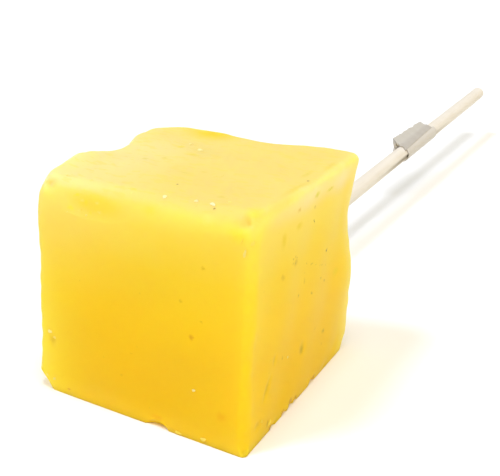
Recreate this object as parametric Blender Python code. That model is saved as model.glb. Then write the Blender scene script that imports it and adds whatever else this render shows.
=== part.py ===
# A square lollipop lying on one side of its candy block, with its round wooden stick
# and the folded paper band on the stick. Metres, +Z up, +Y along the stick.
# The origin is on the flat underside, below the middle of the block.

import math

import bmesh
import bpy
from mathutils import Vector

# Candy block, as driving dimensions
candy_width = 0.0403
candy_depth = 0.0386
candy_height = 0.0381
grid_cells = 24
edge_crowding = 0.75
flat_base_blend = 0.0040

# The eight corners as (right, back, top) signs, each with its shift in X and Y
# from the corner of a plain block
corner_shift = {
    (-1, -1, 1): (0.0014, 0.0001),
    (1, -1, 1): (-0.0003, 0.0007),
    (1, 1, 1): (0.0006, 0.0019),
    (-1, 1, 1): (0.0005, 0.0009),
    (-1, -1, -1): (-0.0011, 0.0002),
    (1, -1, -1): (0.0003, -0.0022),
    (1, 1, -1): (-0.0001, 0.0028),
    (-1, 1, -1): (0.0004, 0.0004),
}

# Radius of each worn edge, by the signs of the two faces that meet there;
# 0 marks the axis that the edge runs along
edge_radius = {
    (0, -1, 1): 0.0026,
    (-1, 0, 1): 0.0012,
    (1, 0, 1): 0.0011,
    (0, 1, 1): 0.0013,
    (-1, -1, 0): 0.0015,
    (1, -1, 0): 0.0017,
    (1, 1, 0): 0.0012,
    (-1, 1, 0): 0.0026,
    (0, -1, -1): 0.0008,
    (-1, 0, -1): 0.0010,
    (1, 0, -1): 0.0008,
    (0, 1, -1): 0.0010,
}

edge_focus = 0.0003

# Dents left where candy broke away: centre and radius of the ball that fits each one
dents = {
    "scoop_in_left_top_edge": ((-0.0281, 0.0028, 0.0467), 0.0141),
    "worn_front_right_corner": ((0.0329, -0.0316, 0.0511), 0.0250),
    "hollow_in_front_top_edge": ((-0.0068, -0.0457, 0.0466), 0.0300),
    "notch_in_front_bottom_edge": ((0.0040, -0.0222, -0.0010), 0.0032),
    "worn_front_left_bottom_corner": ((-0.0262, -0.0255, -0.0040), 0.0112),
    "worn_front_left_top_corner": ((-0.0269, -0.0273, 0.0462), 0.0160),
    "broken_back_left_corner": ((-0.0279, 0.0284, 0.0435), 0.0160),
    "chipped_back_right_bottom_corner": ((0.0215, 0.0226, -0.0014), 0.0043),
}

# Long shallow waves of the set surface: height, then one wavelength for each axis
surface_waves = (
    (0.00016, (0.021, 0.034, 0.052)),
    (0.00012, (-0.029, 0.047, 0.017)),
    (0.00010, (0.043, 0.013, -0.037)),
)

# A raised rim on the left top edge, a waist in the right back edge and a wavy back edge
rim_height = 0.0019
rim_middle = -0.0086
rim_half_length = 0.0060
rim_width = 0.0050
waist_depth = 0.0017
waist_height = 0.0270
waist_half_height = 0.0048
waist_reach = 0.0060
back_wave_depth = 0.00115
back_wave_length = 0.0240
back_wave_crest = 0.0134
back_wave_reach = 0.0120

# Stick, which enters the back of the block low down and rises a little to its tip
stick_radius = 0.0020
stick_length = 0.2030
stick_in_candy = 0.0300
stick_end_bevel = 0.0003
stick_sides = 24
sharp_angle = math.radians(40)
stick_exit = Vector((0.0, 0.0205, 0.0103))
stick_tip = Vector((0.0030, 0.1914, 0.0145))
gap = 0.0003

# Paper band, folded round the stick to a ridge on its upper left, higher at the near end
band_start = 0.0896
band_length = 0.0262
band_wall = 0.0003
near_ridge_reach = 0.0052
far_ridge_reach = 0.0043
ridge_angle = math.radians(130)
band_arc_steps = 20


def plain_material(name, colour, roughness):
    material = bpy.data.materials.new(name)
    material.use_nodes = True
    shader = material.node_tree.nodes["Principled BSDF"]
    shader.inputs["Base Color"].default_value = (*colour, 1.0)
    shader.inputs["Roughness"].default_value = roughness
    shader.inputs["Metallic"].default_value = 0.0
    return material


def clear_scene():
    for item in list(bpy.data.objects):
        bpy.data.objects.remove(item, do_unlink=True)


def bell(offset, half_width):
    return math.exp(-((offset / half_width) ** 2))


def ease(value):
    value = min(max(value, 0.0), 1.0)
    return value * value * (3.0 - 2.0 * value)


def crowd(value):
    """Moves evenly spaced grid lines towards the edges of a face."""
    return (1.0 - edge_crowding) * value + edge_crowding * math.sin(value * math.pi / 2)


def radius_near(point, half):
    """The edge radius at a point, weighted towards the nearest edges."""
    total = 0.0
    weights = 0.0
    for signs, radius in edge_radius.items():
        away = [point[axis] - sign * half[axis] for axis, sign in enumerate(signs) if sign]
        weight = 1.0 / (away[0] ** 2 + away[1] ** 2 + edge_focus ** 2) ** 2
        total += weight * radius
        weights += weight
    return total / weights


def round_edges(point, half):
    """Rounds a point of a plain block, and gives its outward direction too."""
    radius = radius_near(point, half)
    core = Vector([min(max(c, radius - h), h - radius) for c, h in zip(point, half)])
    outward = (point - core).normalized()
    return core + outward * radius, outward


def shift_corners(point, half):
    """Blends the eight corner shifts over the block."""
    shift = Vector((0.0, 0.0, 0.0))
    for signs, (shift_x, shift_y) in corner_shift.items():
        share = 1.0
        for axis, sign in enumerate(signs):
            share *= 0.5 * (1.0 + sign * point[axis] / half[axis])
        shift += share * Vector((shift_x, shift_y, 0.0))
    return point + shift


def weather(point, outward):
    """Adds the waves, the raised rim, the waist and the wavy back edge."""
    height = point.z
    lifted = ease(height / flat_base_blend)
    for amount, lengths in surface_waves:
        phase = sum(c / length for c, length in zip(point, lengths))
        point = point + outward * (lifted * amount * math.sin(2 * math.pi * phase))
    at_top = ease((height - 0.5 * candy_height) / (0.5 * candy_height))
    from_left = point.x + 0.5 * candy_width
    rim = bell(point.y - rim_middle, rim_half_length) * bell(from_left, rim_width)
    point.z += rim_height * rim * at_top
    to_edge = math.hypot(point.x - 0.5 * candy_width, point.y - 0.5 * candy_depth)
    waist = bell(height - waist_height, waist_half_height) * bell(to_edge, waist_reach)
    point.x -= waist_depth * waist
    point.y -= 0.5 * waist_depth * waist
    at_back = bell(point.y - 0.5 * candy_depth, back_wave_reach) * at_top
    turn = 2 * math.pi * (point.x - back_wave_crest) / back_wave_length
    point.y += back_wave_depth * at_back * math.cos(turn)
    return point


def press_dents(point):
    """Moves a point that lies inside a dent's ball out to the ball's surface."""
    for centre, radius in dents.values():
        away = point - Vector(centre)
        if away.length < radius:
            point = Vector(centre) + away.normalized() * radius
    point.z = max(point.z, 0.0)
    return point


def make_candy():
    half = Vector((candy_width, candy_depth, candy_height)) * 0.5
    shape = bmesh.new()
    bmesh.ops.create_cube(shape, size=2.0)
    bmesh.ops.subdivide_edges(shape, edges=shape.edges, cuts=grid_cells - 1, use_grid_fill=True)
    for vertex in shape.verts:
        block = Vector([crowd(c) * h for c, h in zip(vertex.co, half)])
        rounded, outward = round_edges(block, half)
        placed = shift_corners(rounded, half) + Vector((0.0, 0.0, half.z))
        vertex.co = press_dents(weather(placed, outward))
    bmesh.ops.triangulate(shape, faces=shape.faces)
    bmesh.ops.recalc_face_normals(shape, faces=shape.faces)
    mesh = bpy.data.meshes.new("candy")
    shape.to_mesh(mesh)
    shape.free()
    mesh.shade_smooth()
    mesh.materials.append(plain_material("hard_candy", (0.95, 0.56, 0.04), 0.3))
    candy = bpy.data.objects.new("candy", mesh)
    bpy.context.collection.objects.link(candy)
    return candy


def stick_turn():
    """Turns +Z of a piece to the direction of the stick."""
    return (stick_tip - stick_exit).to_track_quat("Z", "Y").to_euler()


def make_rod(name, radius, length, bevel):
    """A round rod along +Z that starts at its own origin."""
    shape = bmesh.new()
    bmesh.ops.create_cone(
        shape, cap_ends=True, segments=stick_sides,
        radius1=radius, radius2=radius, depth=length,
    )
    bmesh.ops.translate(shape, verts=shape.verts, vec=(0.0, 0.0, 0.5 * length))
    if bevel:
        rims = [edge for edge in shape.edges if edge.calc_face_angle(0.0) > sharp_angle]
        bmesh.ops.bevel(shape, geom=rims, offset=bevel, segments=2, profile=0.5, affect="EDGES")
    mesh = bpy.data.meshes.new(name)
    shape.to_mesh(mesh)
    shape.free()
    rod = bpy.data.objects.new(name, mesh)
    bpy.context.collection.objects.link(rod)
    return rod


def make_stick():
    stick = make_rod("stick", stick_radius, stick_length, stick_end_bevel)
    along = (stick_tip - stick_exit).normalized()
    stick.location = stick_exit - along * stick_in_candy
    stick.rotation_euler = stick_turn()
    stick.data.shade_smooth()
    stick.data.set_sharp_from_angle(angle=sharp_angle)
    stick.data.materials.append(plain_material("pale_wood", (0.86, 0.77, 0.62), 0.65))
    return stick


def cut_stick_hole(candy):
    """A blind hole for the stick, a gap wider and deeper than the stick."""
    depth = stick_in_candy + gap
    cutter = make_rod("stick_hole_cutter", stick_radius + gap, 2 * depth, 0.0)
    along = (stick_tip - stick_exit).normalized()
    cutter.location = stick_exit - along * depth
    cutter.rotation_euler = stick_turn()
    cutter.hide_render = True
    cutter.display_type = "WIRE"
    cut = candy.modifiers.new("stick_hole", "BOOLEAN")
    cut.operation = "DIFFERENCE"
    cut.solver = "EXACT"
    cut.object = cutter


def band_outline(radius, reach):
    """A circle drawn out to a ridge: the arc between two tangents, then the ridge."""
    half_open = math.acos(radius / reach)
    first = ridge_angle + half_open
    sweep = 2 * math.pi - 2 * half_open
    arc = [first + sweep * step / band_arc_steps for step in range(band_arc_steps + 1)]
    points = [(radius * math.cos(turn), radius * math.sin(turn)) for turn in arc]
    points.append((reach * math.cos(ridge_angle), reach * math.sin(ridge_angle)))
    return points


def make_band():
    count = band_arc_steps + 2
    shape = bmesh.new()
    rings = []
    for height, reach in ((0.0, near_ridge_reach), (band_length, far_ridge_reach)):
        outer = band_outline(stick_radius + gap + band_wall, reach)
        inner = band_outline(stick_radius + gap, reach - 2 * band_wall)
        for outline in (outer, inner):
            rings.append([shape.verts.new((x, y, height)) for x, y in outline])
    near_outer, near_inner, far_outer, far_inner = rings
    loops = ((near_outer, far_outer), (far_outer, far_inner),
             (far_inner, near_inner), (near_inner, near_outer))
    for first, second in loops:
        for index in range(count):
            after = (index + 1) % count
            shape.faces.new((first[index], first[after], second[after], second[index]))
    bmesh.ops.triangulate(shape, faces=shape.faces)
    bmesh.ops.recalc_face_normals(shape, faces=shape.faces)
    mesh = bpy.data.meshes.new("paper_band")
    shape.to_mesh(mesh)
    shape.free()
    mesh.materials.append(plain_material("grey_paper", (0.62, 0.60, 0.53), 0.6))
    band = bpy.data.objects.new("paper_band", mesh)
    bpy.context.collection.objects.link(band)
    along = (stick_tip - stick_exit).normalized()
    band.location = stick_exit + along * band_start
    band.rotation_euler = stick_turn()
    return band


clear_scene()
candy_block = make_candy()
cut_stick_hole(candy_block)
make_stick()
make_band()
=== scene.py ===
import math

import bpy
import numpy as np
from mathutils import Matrix, Vector


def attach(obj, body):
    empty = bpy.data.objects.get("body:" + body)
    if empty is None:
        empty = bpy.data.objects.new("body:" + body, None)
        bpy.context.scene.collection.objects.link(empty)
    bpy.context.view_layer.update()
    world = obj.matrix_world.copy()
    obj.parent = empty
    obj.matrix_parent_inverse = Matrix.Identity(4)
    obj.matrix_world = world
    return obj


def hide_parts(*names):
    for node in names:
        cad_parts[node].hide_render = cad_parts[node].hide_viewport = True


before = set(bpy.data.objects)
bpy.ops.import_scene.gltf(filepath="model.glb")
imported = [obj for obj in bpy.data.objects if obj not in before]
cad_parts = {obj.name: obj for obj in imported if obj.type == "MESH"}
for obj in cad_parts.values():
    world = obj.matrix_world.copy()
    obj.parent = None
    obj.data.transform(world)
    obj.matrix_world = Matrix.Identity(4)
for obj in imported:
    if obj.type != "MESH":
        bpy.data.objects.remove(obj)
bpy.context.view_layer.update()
print("frame loaded:", sorted(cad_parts))

mm = 0.001


# Smooth step from 0 to 1: three t squared less two t cubed, with t held between 0 and 1
def ease(value):
    value = np.clip(value, 0.0, 1.0)
    return value * value * (3.0 - 2.0 * value)


# Bell: e to the power of minus the square of offset over half width
def bell(offset, halfWidth):
    return np.exp(-((offset / halfWidth) ** 2))


def lengthOf(vectors):
    return np.sqrt((vectors * vectors).sum(axis=-1, keepdims=True))


# Lumps of one size: sine waves in seeded directions, added up and brought to about -1 to 1
def lumps(points, size, seed, waves=12):
    draw = np.random.default_rng(seed)
    directions = draw.normal(size=(waves, 3))
    directions /= lengthOf(directions) * size * draw.uniform(0.7, 1.6, (waves, 1))
    starts = draw.uniform(0.0, 2 * math.pi, waves)
    return np.sin(2 * math.pi * points @ directions.T + starts).sum(axis=-1) / math.sqrt(waves)


# Lumps of a named unevenness, times its height
def unevenness(points, kind):
    return kind["height"] * lumps(points, kind["size"], kind["seed"], kind.get("waves", 12))


# Two directions at right angles to each of the given ones
def sideways(outward):
    helper = np.where(np.abs(outward[..., 2:3]) < 0.9, [0.0, 0.0, 1.0], [0.0, 1.0, 0.0])
    across = np.cross(helper, outward)
    across /= lengthOf(across)
    return across, np.cross(outward, across)


# Puts points and face index arrays (any mix of triangles and quads) into a new mesh object
def putMesh(name, points, faceGroups, material, node):
    mesh = bpy.data.meshes.new(name)
    corners = np.concatenate([group.ravel() for group in faceGroups])
    sizes = np.concatenate([np.full(len(group), group.shape[1]) for group in faceGroups])
    mesh.vertices.add(len(points))
    mesh.vertices.foreach_set("co", points.astype(np.float32).ravel())
    mesh.loops.add(len(corners))
    mesh.loops.foreach_set("vertex_index", corners.astype(np.int32))
    mesh.polygons.add(len(sizes))
    mesh.polygons.foreach_set("loop_start", (np.cumsum(sizes) - sizes).astype(np.int32))
    mesh.update(calc_edges=True)
    mesh.validate()
    mesh.shade_smooth()
    mesh.materials.append(material)
    piece = bpy.data.objects.new(name, mesh)
    bpy.context.scene.collection.objects.link(piece)
    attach(piece, "root")
    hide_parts(node)
    return piece


def storeValues(piece, name, values):
    kind = "FLOAT" if values.ndim == 1 else "FLOAT_VECTOR"
    field = "value" if values.ndim == 1 else "vector"
    store = piece.data.attributes.new(name, kind, "POINT")
    store.data.foreach_set(field, values.astype(np.float32).ravel())


# Faces of a grid of rows and columns whose columns close into a ring
def ringFaces(rows, columns, start=0):
    index = start + np.arange(rows * columns).reshape(rows, columns)
    after = np.roll(index, -1, axis=1)
    return np.stack([index[:-1], after[:-1], after[1:], index[1:]], axis=-1).reshape(-1, 4)


# Faces of rings that run from one pole to the other: vertex 0, the rings in order, and the last vertex
def poleToPoleFaces(rings, columns):
    sides = ringFaces(rings, columns, start=1)
    first = 1 + np.arange(columns)
    last = first + (rings - 1) * columns
    start = np.stack([np.zeros(columns, int), np.roll(first, -1), first], axis=-1)
    end = np.stack([np.full(columns, 1 + rings * columns), last, np.roll(last, -1)], axis=-1)
    return sides, start, end


cameraView = {
    "azimuth": 26.1,            # degrees, 0 looks along +Y
    "elevation": 21.6,
    "roll": 1.6,
    "target": (0.0098, 0.0, 0.0270),
    "distance": 0.1529,
    "focalPixels": 917.0,
    "imageWidth": 500.0,        # pixels
    "sensorWidth": 36.0,        # mm
}


def makeCamera(view):
    turn = (
        Matrix.Rotation(math.radians(view["azimuth"]), 4, "Z")
        @ Matrix.Rotation(math.radians(90.0 - view["elevation"]), 4, "X")
        @ Matrix.Rotation(math.radians(view["roll"]), 4, "Z")
    )
    data = bpy.data.cameras.new("camera")
    data.sensor_width = view["sensorWidth"]
    data.lens = view["focalPixels"] * view["sensorWidth"] / view["imageWidth"]
    data.clip_start = 1 * mm
    camera = bpy.data.objects.new("camera", data)
    place = Vector(view["target"]) + turn.to_3x3() @ Vector((0.0, 0.0, view["distance"]))
    camera.matrix_world = Matrix.Translation(place) @ turn
    bpy.context.scene.collection.objects.link(camera)
    bpy.context.scene.camera = camera


makeCamera(cameraView)
print("camera placed")


def newMaterial(name):
    material = bpy.data.materials.new(name)
    material.use_nodes = True
    tree = material.node_tree
    return material, tree, tree.nodes["Principled BSDF"]


# Adds a node, sets its own settings, and fills its inputs in order and by name
def addNode(tree, kind, settings=None, *values, **inputs):
    node = tree.nodes.new("ShaderNode" + kind)
    for key, value in (settings or {}).items():
        setattr(node, key, value)
    for socket, value in zip(node.inputs, values):
        fill(tree, socket, value)
    for key, value in inputs.items():
        fill(tree, node.inputs[key], value)
    return node


# Links a socket to another one, or sets its value. A colour is given as three numbers.
def fill(tree, socket, value):
    if isinstance(value, bpy.types.NodeSocket):
        tree.links.new(value, socket)
    elif socket.type == "RGBA":
        socket.default_value = (*value, 1.0)
    else:
        socket.default_value = value


def fillShader(tree, shader, inputs):
    for name, value in inputs.items():
        fill(tree, shader.inputs[name], value)


def calc(tree, operation, *values, clamp=False):
    return addNode(tree, "Math", {"operation": operation, "use_clamp": clamp}, *values).outputs[0]


def calcVector(tree, operation, *values):
    return addNode(tree, "VectorMath", {"operation": operation}, *values).outputs[0]


# Carries a value from the range start to end over to the range low to high
def carry(tree, value, low, high, start=0.0, end=1.0, way="LINEAR"):
    return addNode(tree, "MapRange", {"interpolation_type": way}, value, start, end, low, high).outputs[0]


def readShare(tree, name):
    return addNode(tree, "Attribute", {"attribute_name": name}).outputs["Fac"]


# Normal of a fine grain whose height is the mask times the given height
def grainNormal(tree, mask, height, strength):
    raised = calc(tree, "MULTIPLY", mask, height)
    return addNode(tree, "Bump", Height=raised, Strength=strength, Distance=1.0).outputs["Normal"]


def mixColours(tree, factor, first, second):
    return addNode(tree, "Mix", {"data_type": "RGBA"}, Factor=factor, A=first, B=second).outputs["Result"]


def colourRamp(tree, factor, stops):
    node = addNode(tree, "ValToRGB", None, factor)
    elements = node.color_ramp.elements
    for number, (position, colour) in enumerate(stops):
        stop = elements[number] if number < 2 else elements.new(position)
        stop.position = position
        stop.color = (*colour, 1.0)
    return node.outputs["Color"]


# New group from the names and kinds of its sockets, with its input and output ends
def newGroup(name, inputs, outputs):
    group = bpy.data.node_groups.new(name, "ShaderNodeTree")
    for direction, sockets in (("INPUT", inputs), ("OUTPUT", outputs)):
        for socketName, kind in sockets.items():
            group.interface.new_socket(socketName, in_out=direction, socket_type="NodeSocket" + kind)
    return group, group.nodes.new("NodeGroupInput").outputs, group.nodes.new("NodeGroupOutput").inputs


def useGroup(tree, group, **inputs):
    return addNode(tree, "Group", {"node_tree": group}, **inputs)


# Cloud: soft noise of a given size, spread by contrast round one half, as a mask from 0 to 1
def makeCloudGroup():
    group, given, result = newGroup(
        "cloud",
        {"Position": "Vector", "Size": "Float", "Detail": "Float", "Contrast": "Float"},
        {"Mask": "Float"},
    )
    scaled = calcVector(group, "DIVIDE", given["Position"], given["Size"])
    noise = addNode(group, "TexNoise", Vector=scaled, Scale=1.0, Detail=given["Detail"])
    lowered = calc(group, "SUBTRACT", noise.outputs["Fac"], 0.5)
    mask = calc(group, "MULTIPLY_ADD", lowered, given["Contrast"], 0.5, clamp=True)
    group.links.new(mask, result["Mask"])
    return group


# Spot: 1 at its centre, easing to 0 at an oval whose half sizes, its reach, are given for each axis, turned
# by tilt round an axis. It tints a colour.
def makeSpotGroup():
    group, given, result = newGroup(
        "spot",
        {"Position": "Vector", "Centre": "Vector", "Reach": "Vector", "Axis": "Vector", "Tilt": "Float",
         "Softness": "Float", "Colour": "Color", "Tint": "Color", "Strength": "Float"},
        {"Colour": "Color"},
    )
    away = calcVector(group, "SUBTRACT", given["Position"], given["Centre"])
    turned = addNode(group, "VectorRotate", {"rotation_type": "AXIS_ANGLE", "invert": True},
                     Vector=away, Axis=given["Axis"], Angle=given["Tilt"])
    scaled = calcVector(group, "DIVIDE", turned.outputs[0], given["Reach"])
    far = addNode(group, "VectorMath", {"operation": "LENGTH"}, scaled).outputs["Value"]
    inner = calc(group, "SUBTRACT", 1.0, given["Softness"])
    mask = carry(group, far, 1.0, 0.0, inner, 1.0, "SMOOTHSTEP")
    share = calc(group, "MULTIPLY", mask, given["Strength"])
    group.links.new(mixColours(group, share, given["Colour"], given["Tint"]), result["Colour"])
    return group


# Specks: a round dot in a share of the cells of a Voronoi pattern, as a mask from 0 to 1
def makeSpeckGroup():
    group, given, result = newGroup(
        "specks",
        {"Position": "Vector", "Spacing": "Float", "Radius": "Float", "Share": "Float"},
        {"Mask": "Float"},
    )
    scaled = calcVector(group, "DIVIDE", given["Position"], given["Spacing"])
    cells = addNode(group, "TexVoronoi", Vector=scaled, Scale=1.0)
    dot = carry(group, cells.outputs["Distance"], 1.0, 0.0, 0.0, given["Radius"], "SMOOTHSTEP")
    chosen = addNode(group, "SeparateColor", None, cells.outputs["Color"])
    kept = calc(group, "LESS_THAN", chosen.outputs["Red"], given["Share"])
    group.links.new(calc(group, "MULTIPLY", dot, kept), result["Mask"])
    return group


def cloudMask(tree, place, size, detail, contrast):
    clouds = useGroup(tree, cloudGroup, Position=place, Size=size, Detail=detail, Contrast=contrast)
    return clouds.outputs["Mask"]


cloudGroup = makeCloudGroup()
spotGroup = makeSpotGroup()
speckGroup = makeSpeckGroup()
print("shader groups made")


candyBlock = {
    "width": 0.0403, "depth": 0.0386, "height": 0.0381,
    "cells": 128,               # grid cells along each edge of the block
    "crowding": 0.30,           # how far the grid lines move towards the edges
    "baseBlend": 0.0040,        # height over which the flat underside passes into the waves
    "edgeFocus": 0.0003,        # the smaller, the more the nearest edge alone decides the radius
    # shift of each corner, named by its (right, back, top) signs, in X and Y
    "cornerShift": {
        (-1, -1, 1): (0.0014, 0.0001), (1, -1, 1): (-0.0003, 0.0007),
        (1, 1, 1): (0.0009, 0.0019), (-1, 1, 1): (0.0005, 0.0009),
        (-1, -1, -1): (-0.0011, 0.0002), (1, -1, -1): (0.0003, -0.0022),
        (1, 1, -1): (0.0002, 0.0028), (-1, 1, -1): (0.0004, 0.0004),
    },
    # radius of each worn edge, named by the signs of its two faces
    "edgeRadius": {
        (0, -1, 1): 0.0038, (-1, 0, 1): 0.0012, (1, 0, 1): 0.0012, (0, 1, 1): 0.0013,
        (-1, -1, 0): 0.0015, (1, -1, 0): 0.0017, (1, 1, 0): 0.0012, (-1, 1, 0): 0.0026,
        (0, -1, -1): 0.00014, (-1, 0, -1): 0.0004, (1, 0, -1): 0.00012, (0, 1, -1): 0.0004,
    },
    # painted light shining through the thin edges: how strongly each edge takes the edge colour, how far from
    # it, and the share left at the floor
    "edgeLightTone": {
        (-1, -1, 0): (0.97, 0.0068, 1.10), (1, -1, 0): (0.48, 0.0070, 0.40),
        (1, 1, 0): (0.85, 0.0050, 1.0), (-1, 1, 0): (0.80, 0.0055, 1.0),
        (1, 0, 1): (0.25, 0.0030, 1.0), (-1, 0, 1): (0.30, 0.0030, 1.0),
    },
    # how pale each edge is, partly from wear and partly as painted highlight on its rounding, how far from
    # it, and the share left at the floor
    "edgeWearAndHighlight": {
        (1, 0, 1): (0.16, 0.0022, 1.0), (0, 1, 1): (0.20, 0.0012, 1.0), (-1, 0, 1): (0.40, 0.0022, 1.0),
        (-1, -1, 0): (0.12, 0.0030, 1.0), (1, -1, 0): (0.05, 0.0030, 0.0), (1, 1, 0): (0.62, 0.0024, 1.0),
    },
    # centre and radius of the ball that fits each place where candy broke away, and how round its rim is
    "dents": [
        ((-0.0281, 0.0028, 0.0467), 0.0141, 0.0002),      # scoop in the left top edge
        ((0.0329, -0.0316, 0.0511), 0.0246, 0.0014),      # worn front right corner
        ((-0.0068, -0.0457, 0.0466), 0.0297, 0.0011),     # hollow in the front top edge
        ((0.0040, -0.0222, -0.0012), 0.0030, 0.0001),     # notch in the front bottom edge
        ((-0.0262, -0.0255, -0.0040), 0.0112, 0.0003),    # front left bottom corner
        ((-0.0269, -0.0273, 0.0462), 0.0157, 0.0010),     # front left top corner
        ((-0.0279, 0.0284, 0.0435), 0.0160, 0.0003),      # broken back left corner
        ((0.0208, -0.0043, -0.0001), 0.0011, 0.0001),     # nicks along the right bottom edge
        ((0.0208, -0.0069, -0.0002), 0.0009, 0.0001),
        ((0.0207, -0.0024, -0.0003), 0.0008, 0.0001),
        ((0.0209, -0.0114, -0.0002), 0.0010, 0.0001),
        ((0.0206, 0.0046, -0.0004), 0.0013, 0.0002),
        ((0.0215, 0.0226, -0.0014), 0.0043, 0.0003),      # chipped back right bottom corner
    ],
    # long shallow waves of the set surface: height, then a wavelength for each axis
    "waves": [
        (0.00016, (0.021, 0.034, 0.052)),
        (0.00012, (-0.029, 0.047, 0.017)),
        (0.00010, (0.043, 0.013, -0.037)),
    ],
    "rim": {"height": 0.0019, "middle": -0.0086, "halfLength": 0.0060, "width": 0.0050},
    # the right back edge draws in at one height and swells a little at another
    "waists": [
        {"depth": 0.0016, "height": 0.0268, "halfHeight": 0.0070, "reach": 0.0060},
        {"depth": -0.0005, "height": 0.0160, "halfHeight": 0.0045, "reach": 0.0055},
    ],
    "backWave": {"depth": 0.00115, "length": 0.0240, "crest": 0.0134, "reach": 0.0120},
    # small unevenness: height, size and seed of its lumps, how far from an edge it reaches, and the height
    # above the floor over which it sets in
    "ripple": {"height": 0.000016, "size": 0.0062, "seed": 5},
    "edgeNibble": {"height": 0.00006, "size": 0.0034, "seed": 9, "reach": 0.0018, "setIn": 0.0006},
    # crumbs that broke off the bottom edges, and how high up they reach
    "baseNibble": {"height": 0.00006, "size": 0.0021, "seed": 13, "reach": 0.0012, "setIn": 0.0003,
                   "upTo": 0.0008},
    "hiddenPits": {"seed": 31, "count": 26},                # on the back and left
    # candy that climbed the stick, and the socket inside it: its depth, its radius and blend in shares of the
    # stick's radius, and how far inside the stick's exit all of it starts and over what
    "collar": {"height": 0.0007, "width": 0.0008, "sink": 0.0030, "socket": 0.85, "socketBlend": 0.5,
               "inside": 0.0060, "setIn": 0.0040},
    # how far the skin faces up where the top's colour, painted light, starts, and over what it fills in
    "topTurn": (0.50, 0.45),
    # milky part: it fills in to the left of one place, thins out to the back from another, and shows less
    # on the sides above a share of the height
    "milky": {"rightEnd": 0.0040, "fade": 0.0200, "backStart": 0.0030, "backFade": 0.0120, "backLoss": 0.75,
              "onSides": 0.27, "sidesFrom": 0.45, "sidesBlend": 0.45},
    # painted glow near the floor, given off as emission:
    "baseGlow": {"height": 0.0023, "rightLack": 0.65},      # how high up, and what the right side lacks
}

stickShape = {
    "radius": 0.0020, "length": 0.2012, "inCandy": 0.0300, "endRounding": 0.0004,
    "exit": (0.0, 0.0205, 0.0103), "tip": (0.0030, 0.1914, 0.0145),
    "columns": 64, "rows": 420, "roundRings": 6, "flatRings": 4,
    # space that the flutes' lumps are laid in: its radius, and its length for each length of the stick
    "grain": (0.002, 0.06),
    "flutes": [
        {"height": 0.000018, "size": 0.0011, "seed": 21, "waves": 16},
        {"height": 0.000020, "size": 0.0040, "seed": 22, "waves": 8},
    ],
    "lowered": 0.00003,         # how far the fluted skin lies below the full radius
}
stickExit = np.array(stickShape["exit"])
stickAlong = np.array(stickShape["tip"]) - stickExit
stickAlong = stickAlong / lengthOf(stickAlong)

halfBlock = np.array([candyBlock[side] for side in ("width", "depth", "height")]) / 2

# across and up directions on each face of the block
faceAxes = {
    "front": ((1, 0, 0), (0, 0, 1)), "back": ((1, 0, 0), (0, 0, 1)), "top": ((1, 0, 0), (0, 1, 0)),
    "left": ((0, 1, 0), (0, 0, 1)), "right": ((0, 1, 0), (0, 0, 1)),
}


# Candy for points of a cube from -1 to 1. Each point is brought to the block's size and held inside a core
# that is smaller by the edge radius, then pushed out again by that radius. Corner shifts blend over the
# block. Waves, rim, waists and wavy back are added, and points inside a dent's ball move to its surface.
def candyForm(cube, block=candyBlock):
    half = halfBlock
    point = cube * half
    radius = np.zeros((len(point), 1))
    weights = np.zeros((len(point), 1))
    for signs, edge in block["edgeRadius"].items():
        axes = [axis for axis in range(3) if signs[axis]]
        away = point[:, axes] - np.array(signs)[axes] * half[axes]
        weight = 1.0 / ((away ** 2).sum(axis=1, keepdims=True) + block["edgeFocus"] ** 2) ** 2
        radius += weight * edge
        weights += weight
    radius = radius / weights
    core = np.clip(point, radius - half, half - radius)
    outward = (point - core) / lengthOf(point - core)
    point = core + outward * radius

    shift = np.zeros_like(point)
    for signs, (shiftX, shiftY) in block["cornerShift"].items():
        share = np.prod(0.5 * (1.0 + np.array(signs) * point / half), axis=1, keepdims=True)
        shift += share * np.array([shiftX, shiftY, 0.0])
    point = point + shift + [0.0, 0.0, half[2]]

    height = point[:, 2].copy()
    lifted = ease(height / block["baseBlend"])
    for amount, lengths in block["waves"]:
        wave = amount * np.sin(2 * math.pi * (point / np.array(lengths)).sum(axis=1))
        point = point + outward * (lifted * wave)[:, None]
    atTop = ease(height / half[2] - 1.0)
    rim = block["rim"]
    along = bell(point[:, 1] - rim["middle"], rim["halfLength"])
    point[:, 2] += rim["height"] * along * bell(point[:, 0] + half[0], rim["width"]) * atTop
    toEdge = np.hypot(point[:, 0] - half[0], point[:, 1] - half[1])
    for waist in block["waists"]:
        pinch = waist["depth"] * bell(height - waist["height"], waist["halfHeight"])
        pinch = pinch * bell(toEdge, waist["reach"])
        point[:, 0] -= pinch
        point[:, 1] -= 0.5 * pinch
    back = block["backWave"]
    atBack = bell(point[:, 1] - half[1], back["reach"]) * atTop
    turn = 2 * math.pi * (point[:, 0] - back["crest"]) / back["length"]
    point[:, 1] += back["depth"] * atBack * np.cos(turn)

    for centre, ball, softness in block["dents"]:
        point = pressBall(point, np.array(centre), ball, softness)
    point[:, 2] = np.maximum(point[:, 2], 0.0)
    return point, outward


# Points inside the ball move straight out to its surface. The push is half of depth plus the root of
# depth squared and softness squared, so the dent's rim is rounded.
def pressBall(point, centre, ball, softness):
    away = point - centre
    far = lengthOf(away)
    depth = ball - far
    push = 0.5 * (depth + np.sqrt(depth * depth + softness * softness))
    return point + away / far * push


# Cube points of a place on a face, given across and up it in millimetres. Front and back count from the
# middle and from the floor, left and right from the middle of the depth, the top from its middle.
def facePlace(face, across, up):
    halfWidth, halfDepth, halfHeight = halfBlock / mm
    if face in ("front", "back"):
        return [across / halfWidth, -1.0 if face == "front" else 1.0, up / halfHeight - 1.0]
    if face in ("left", "right"):
        return [-1.0 if face == "left" else 1.0, across / halfDepth, up / halfHeight - 1.0]
    return [across / halfWidth, up / halfDepth, 1.0]


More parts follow.
